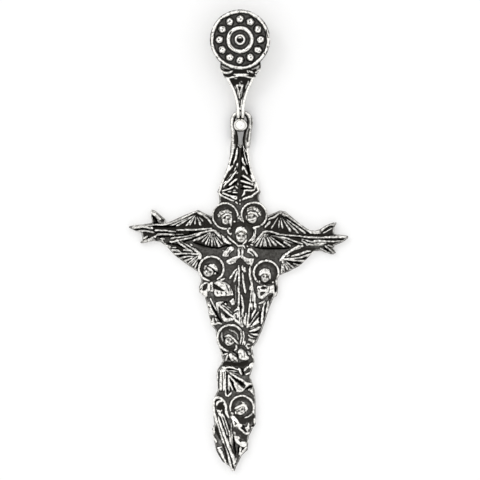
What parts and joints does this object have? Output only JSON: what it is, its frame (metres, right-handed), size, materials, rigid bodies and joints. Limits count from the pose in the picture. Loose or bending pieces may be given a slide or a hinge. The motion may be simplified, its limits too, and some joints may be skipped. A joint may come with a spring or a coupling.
{
  "type": "orthodox cross pendant",
  "caption": "Cast silver pectoral cross with haloed winged figures in relief, and a hinged bail with a round granulated medallion that a neck chain passes through.",
  "frame": {"origin": "under the middle of the whole pendant, on the plane of its flat back", "axes": "+X across the arms to the viewer's right, +Y up the shaft to the medallion, +Z out of the front"},
  "size_m": [0.0438, 0.0922, 0.007],
  "materials": {
    "cast_silver": "cast sterling silver, blackened recesses and polished high points",
    "bail_silver": "soldered sterling silver, blackened recesses and polished high points"
  },
  "bodies": {
    "cross": {"cross": "cast_silver"},
    "bail": {"bail": "bail_silver"}
  },
  "joints": [
    {"name": "bail_swing", "type": "hinge", "parent": "cross", "child": "bail", "pos_m": [0.0004, 0.02575, 0.0019], "axis": [1, 0, 0], "range_deg": [-135, 135]}
  ]
}
